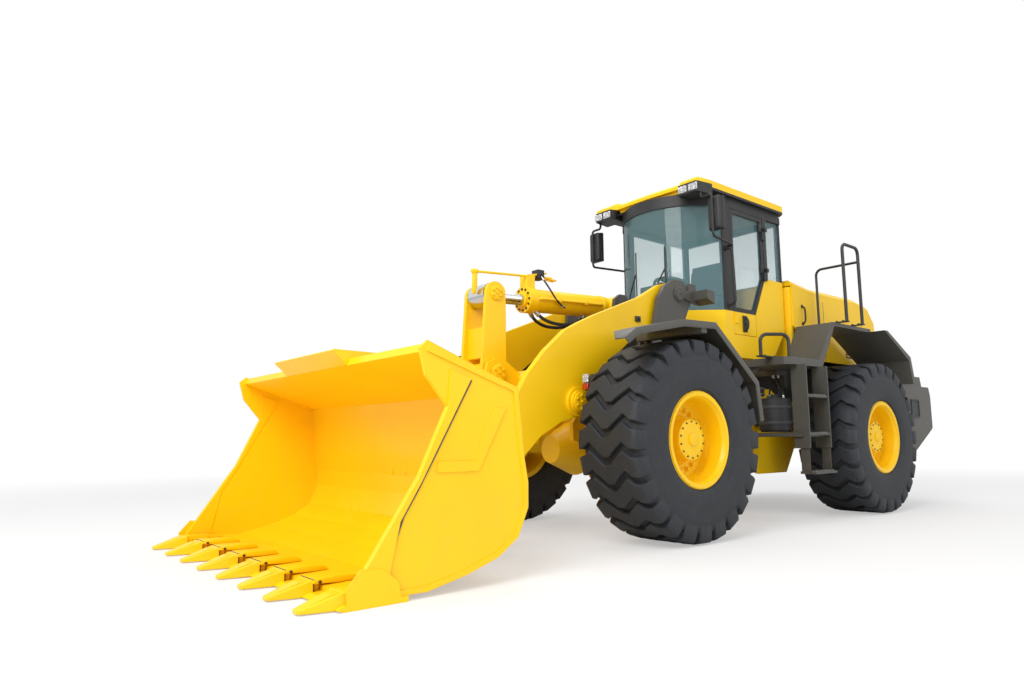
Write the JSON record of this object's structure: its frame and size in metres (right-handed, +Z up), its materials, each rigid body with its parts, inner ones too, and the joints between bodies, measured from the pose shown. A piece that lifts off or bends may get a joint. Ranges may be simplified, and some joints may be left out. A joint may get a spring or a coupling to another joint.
{
  "type": "wheel loader",
  "caption": "Articulated wheel loader with a Z-bar boom and toothed bucket, glazed cab, rear engine under a tilting hood and four large lugged tyres.",
  "frame": {"origin": "bottom centre of the bounding box, on the floor", "axes": "+X forward along the machine, +Y the machine's left, +Z up; machine straight, boom down and bucket flat on the floor"},
  "size_m": [8.155, 2.976, 3.4],
  "materials": {
    "yellow_paint": "semi-gloss",
    "grey_paint": "satin",
    "tyre_rubber": "matte",
    "rim_paint": "semi-gloss",
    "rod_chrome": "polished",
    "cylinder_paint": "semi-gloss",
    "cab_glass": "tinted",
    "edge_steel": "worn",
    "seat_fabric": "woven",
    "black_plastic": "grained",
    "black_tube": "satin",
    "machinery_grey": "painted"
  },
  "bodies": {
    "rear": {"cab_frame": "black_tube", "cab_glass": "cab_glass", "cab_roof": "yellow_paint", "cab_shell": "yellow_paint", "console": "black_plastic", "counterweight": "yellow_paint", "deck_left": "grey_paint", "deck_right": "grey_paint", "engine": "machinery_grey", "ladder_left": "grey_paint", "ladder_right": "grey_paint", "mirror_left": "black_plastic", "mirror_right": "black_plastic", "radiator": "machinery_grey", "rails_left": "black_tube", "rails_right": "black_tube", "rear_axle": "yellow_paint", "rear_frame": "yellow_paint", "seat": "seat_fabric", "steering_wheel": "black_plastic", "tank_left": "machinery_grey", "tank_right": "machinery_grey", "transmission": "machinery_grey"},
    "front": {"front_frame": "yellow_paint", "boom_tower": "grey_paint", "front_axle": "yellow_paint", "fender_front_left": "grey_paint", "fender_front_right": "grey_paint", "headlamp_left": "black_plastic", "headlamp_right": "black_plastic"},
    "boom": {"boom": "yellow_paint"},
    "rocker": {"rocker": "yellow_paint"},
    "link": {"bucket_link": "yellow_paint"},
    "bucket": {"bucket": "yellow_paint", "bucket_teeth": "edge_steel", "spill_guard": "yellow_paint"},
    "door": {"door_left": "black_tube", "door_glass": "cab_glass", "door_panel": "yellow_paint"},
    "hood": {"hood": "yellow_paint", "grille": "yellow_paint", "exhaust": "machinery_grey"},
    "tilt_barrel": {"tilt_cylinder_barrel": "cylinder_paint"},
    "tilt_rod": {"tilt_cylinder_rod": "rod_chrome"},
    "lift_barrel_left": {"lift_cylinder_left_barrel": "cylinder_paint"},
    "lift_rod_left": {"lift_cylinder_left_rod": "rod_chrome"},
    "steer_barrel_left": {"steer_cylinder_left_barrel": "cylinder_paint"},
    "steer_rod_left": {"steer_cylinder_left_rod": "rod_chrome"},
    "wheel_front_left": {"tyre_front_left": "tyre_rubber", "rim_front_left": "rim_paint"},
    "wheel_rear_left": {"tyre_rear_left": "tyre_rubber", "rim_rear_left": "rim_paint"},
    "lift_barrel_right": {"lift_cylinder_right_barrel": "cylinder_paint"},
    "lift_rod_right": {"lift_cylinder_right_rod": "rod_chrome"},
    "steer_barrel_right": {"steer_cylinder_right_barrel": "cylinder_paint"},
    "steer_rod_right": {"steer_cylinder_right_rod": "rod_chrome"},
    "wheel_front_right": {"tyre_front_right": "tyre_rubber", "rim_front_right": "rim_paint"},
    "wheel_rear_right": {"tyre_rear_right": "tyre_rubber", "rim_rear_right": "rim_paint"}
  },
  "joints": [
    {"name": "articulation", "type": "hinge", "parent": "rear", "child": "front", "pos_m": [-0.7275, 0, 0.74], "axis": [0, 0, 1], "range_deg": [-38, 38]},
    {"name": "boom_lift", "type": "hinge", "parent": "front", "child": "boom", "pos_m": [0.2125, 0, 2.14], "axis": [0, -1, 0], "range_deg": [-2, 80]},
    {"name": "bucket_tilt", "type": "hinge", "parent": "boom", "child": "bucket", "pos_m": [2.5225, 0, 0.33], "axis": [0, 1, 0], "range_deg": [-43, 127]},
    {"name": "rocker_turn", "type": "hinge", "parent": "boom", "child": "rocker", "pos_m": [1.9625, 0, 1.35], "axis": [0, -1, 0], "range_deg": [-18.2, 51.8]},
    {"name": "link_turn", "type": "hinge", "parent": "bucket", "child": "link", "pos_m": [2.5825, 0, 0.8], "axis": [0, -1, 0], "range_deg": [-22.5, 64.5]},
    {"name": "tilt_cylinder_turn", "type": "hinge", "parent": "front", "child": "tilt_barrel", "pos_m": [0.4225, 0, 2.085], "axis": [0, -1, 0], "range_deg": [-3.18, 88.25]},
    {"name": "tilt_cylinder_slide", "type": "slide", "parent": "tilt_barrel", "child": "tilt_rod", "axis": [0.9991, 0, -0.0427], "range_m": [-0.26, 0.1013]},
    {"name": "lift_cylinder_left_turn", "type": "hinge", "parent": "front", "child": "lift_barrel_left", "pos_m": [-0.1275, 0.41, 1.15], "axis": [0, -1, 0], "range_deg": [-2.35, 55.17]},
    {"name": "lift_cylinder_left_slide", "type": "slide", "parent": "lift_barrel_left", "child": "lift_rod_left", "axis": [0.9996, 0, -0.0272], "range_m": [-0.0446, 1.0051]},
    {"name": "steer_cylinder_left_turn", "type": "hinge", "parent": "rear", "child": "steer_barrel_left", "pos_m": [-1.2775, 0.33, 0.62], "axis": [0, 0, 1], "range_deg": [-18.06, 18.06]},
    {"name": "steer_cylinder_left_slide", "type": "slide", "parent": "steer_barrel_left", "child": "steer_rod_left", "axis": [0.9987, 0.0515, 0], "range_m": [-0.2546, 0.2546]},
    {"name": "wheel_front_left_spin", "type": "hinge", "parent": "front", "child": "wheel_front_left", "pos_m": [0.8725, 1.095, 0.797], "axis": [0, 1, 0], "continuous": true},
    {"name": "wheel_rear_left_spin", "type": "hinge", "parent": "rear", "child": "wheel_rear_left", "pos_m": [-2.3275, 1.095, 0.797], "axis": [0, 1, 0], "continuous": true},
    {"name": "lift_cylinder_right_turn", "type": "hinge", "parent": "front", "child": "lift_barrel_right", "pos_m": [-0.1275, -0.41, 1.15], "axis": [0, -1, 0], "range_deg": [-2.35, 55.17]},
    {"name": "lift_cylinder_right_slide", "type": "slide", "parent": "lift_barrel_right", "child": "lift_rod_right", "axis": [0.9996, 0, -0.0272], "range_m": [-0.0446, 1.0051]},
    {"name": "steer_cylinder_right_turn", "type": "hinge", "parent": "rear", "child": "steer_barrel_right", "pos_m": [-1.2775, -0.33, 0.62], "axis": [0, 0, 1], "range_deg": [-18.06, 18.06]},
    {"name": "steer_cylinder_right_slide", "type": "slide", "parent": "steer_barrel_right", "child": "steer_rod_right", "axis": [0.9987, -0.0515, 0], "range_m": [-0.2546, 0.2546]},
    {"name": "wheel_front_right_spin", "type": "hinge", "parent": "front", "child": "wheel_front_right", "pos_m": [0.8725, -1.095, 0.797], "axis": [0, 1, 0], "continuous": true},
    {"name": "wheel_rear_right_spin", "type": "hinge", "parent": "rear", "child": "wheel_rear_right", "pos_m": [-2.3275, -1.095, 0.797], "axis": [0, 1, 0], "continuous": true},
    {"name": "door_left_hinge", "type": "hinge", "parent": "rear", "child": "door", "pos_m": [-1.3145, 0.692, 2.5], "axis": [0, 0, 1], "range_deg": [0, 90]},
    {"name": "hood_hinge", "type": "hinge", "parent": "rear", "child": "hood", "pos_m": [-3.6275, 0, 1.64], "axis": [0, -1, 0], "range_deg": [0, 48]}
  ],
  "couplings": [
    {"joint": "rocker_turn", "follows": "bucket_tilt", "ratio": 0.4},
    {"joint": "link_turn", "follows": "bucket_tilt", "ratio": 0.5},
    {"joint": "tilt_cylinder_turn", "follows": "boom_lift", "ratio": 1.0907},
    {"joint": "tilt_cylinder_slide", "follows": "bucket_tilt", "m_per_rad": -0.10827},
    {"joint": "lift_cylinder_left_turn", "follows": "boom_lift", "ratio": 0.67713},
    {"joint": "lift_cylinder_left_slide", "follows": "boom_lift", "m_per_rad": 0.70551},
    {"joint": "steer_cylinder_left_turn", "follows": "articulation", "ratio": 0.44884},
    {"joint": "steer_cylinder_left_slide", "follows": "articulation", "m_per_rad": -0.3537},
    {"joint": "lift_cylinder_right_turn", "follows": "boom_lift", "ratio": 0.67713},
    {"joint": "lift_cylinder_right_slide", "follows": "boom_lift", "m_per_rad": 0.70551},
    {"joint": "steer_cylinder_right_turn", "follows": "articulation", "ratio": 0.44884},
    {"joint": "steer_cylinder_right_slide", "follows": "articulation", "m_per_rad": 0.3537}
  ]
}
